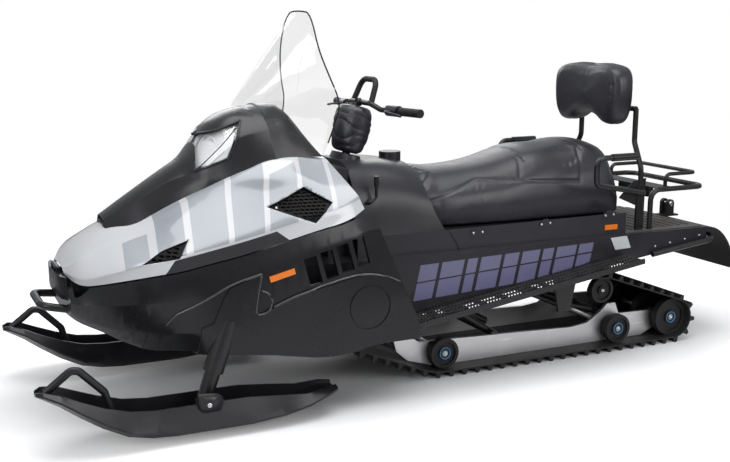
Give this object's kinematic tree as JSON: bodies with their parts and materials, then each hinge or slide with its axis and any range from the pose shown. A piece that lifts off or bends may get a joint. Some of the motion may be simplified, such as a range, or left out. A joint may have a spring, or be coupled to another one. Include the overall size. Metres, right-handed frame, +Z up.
{
  "type": "snowmobile",
  "caption": "Wide-track utility snowmobile with steering skis, tilting hood, windshield, long two-up seat with backrest, rear rack and lugged drive track.",
  "frame": {"origin": "on the ground, under the middle of the whole machine", "axes": "+X forward to the nose, +Y to the rider's left, +Z up"},
  "size_m": [3.25, 1.14, 1.51],
  "materials": {
    "hood_white": "moulded, gloss",
    "hull_black": "moulded, fine grain",
    "gloss_black": "moulded, gloss",
    "mesh_black": "moulded mesh",
    "lamp_clear": "clear",
    "shield_tint": "smoke tint",
    "tunnel_black": "powder coat",
    "tube_black": "powder coat",
    "deck_grey": "textured",
    "seat_cover": "grained vinyl",
    "rubber_black": "matte",
    "track_rubber": "matte",
    "ski_plastic": "moulded",
    "aluminium": "mill finish",
    "zinc": "zinc plated",
    "engine_grey": "cast",
    "amber_lens": "reflector",
    "red_lens": "lens"
  },
  "bodies": {
    "chassis": {"side_panel_left": "hull_black", "side_panel_right": "hull_black", "belly_pan": "hull_black", "front_bumper": "tube_black", "nose_trim": "hull_black", "engine": "engine_grey", "tunnel": "tunnel_black", "running_board_left": "tunnel_black", "running_board_right": "tunnel_black", "rear_deck": "deck_grey", "snow_flap": "rubber_black", "rear_bumper": "tube_black", "rear_rack": "tube_black", "tail_lamp": "red_lens", "tow_hitch": "tube_black", "seat": "seat_cover", "seat_box": "hull_black", "side_cover_left": "hull_black", "side_cover_right": "hull_black", "fuel_tank": "hull_black", "fuel_cap": "gloss_black", "console": "hull_black", "backrest_pad": "seat_cover", "backrest_frame": "tube_black", "grab_handles": "tube_black", "steering_collar": "hull_black", "shift_lever": "tube_black", "strut_housings": "tube_black", "track": "track_rubber", "idler_wheels": "rubber_black", "rear_idlers": "rubber_black", "drive_axle": "tube_black", "slide_rails": "aluminium", "suspension_arms": "tube_black", "suspension_brackets": "tube_black", "reflectors": "amber_lens"},
    "hood": {"hood": "hood_white", "hood_grilles": "mesh_black", "headlight_pod": "gloss_black", "headlight": "lamp_clear", "cowl": "hull_black", "windshield": "shield_tint", "hood_hinge": "tube_black"},
    "steering": {"steering_pad": "seat_cover", "handlebar": "tube_black", "grips": "rubber_black", "controls": "hull_black", "bar_strap": "rubber_black"},
    "ski_left_body": {"ski_left": "ski_plastic", "ski_spindle_left": "tube_black"},
    "ski_right_body": {"ski_right": "ski_plastic", "ski_spindle_right": "tube_black"}
  },
  "joints": [
    {"name": "hood_tilt", "type": "hinge", "parent": "chassis", "child": "hood", "pos_m": [1.464, 0, 0.568], "axis": [0, 1, 0], "range_deg": [0, 60]},
    {"name": "steering", "type": "hinge", "parent": "chassis", "child": "steering", "pos_m": [0.262, 0, 0.936], "axis": [-0.225, 0, 0.9744], "range_deg": [-35, 35]},
    {"name": "ski_left_steer", "type": "hinge", "parent": "chassis", "child": "ski_left_body", "pos_m": [0.961, 0.45, 0.315], "axis": [-0.3338, 0, 0.9426], "range_deg": [-28, 28]},
    {"name": "ski_right_steer", "type": "hinge", "parent": "chassis", "child": "ski_right_body", "pos_m": [0.961, -0.45, 0.315], "axis": [-0.3338, 0, 0.9426], "range_deg": [-28, 28]}
  ],
  "couplings": [
    {"joint": "ski_left_steer", "follows": "steering", "ratio": 0.8},
    {"joint": "ski_right_steer", "follows": "steering", "ratio": 0.8}
  ]
}
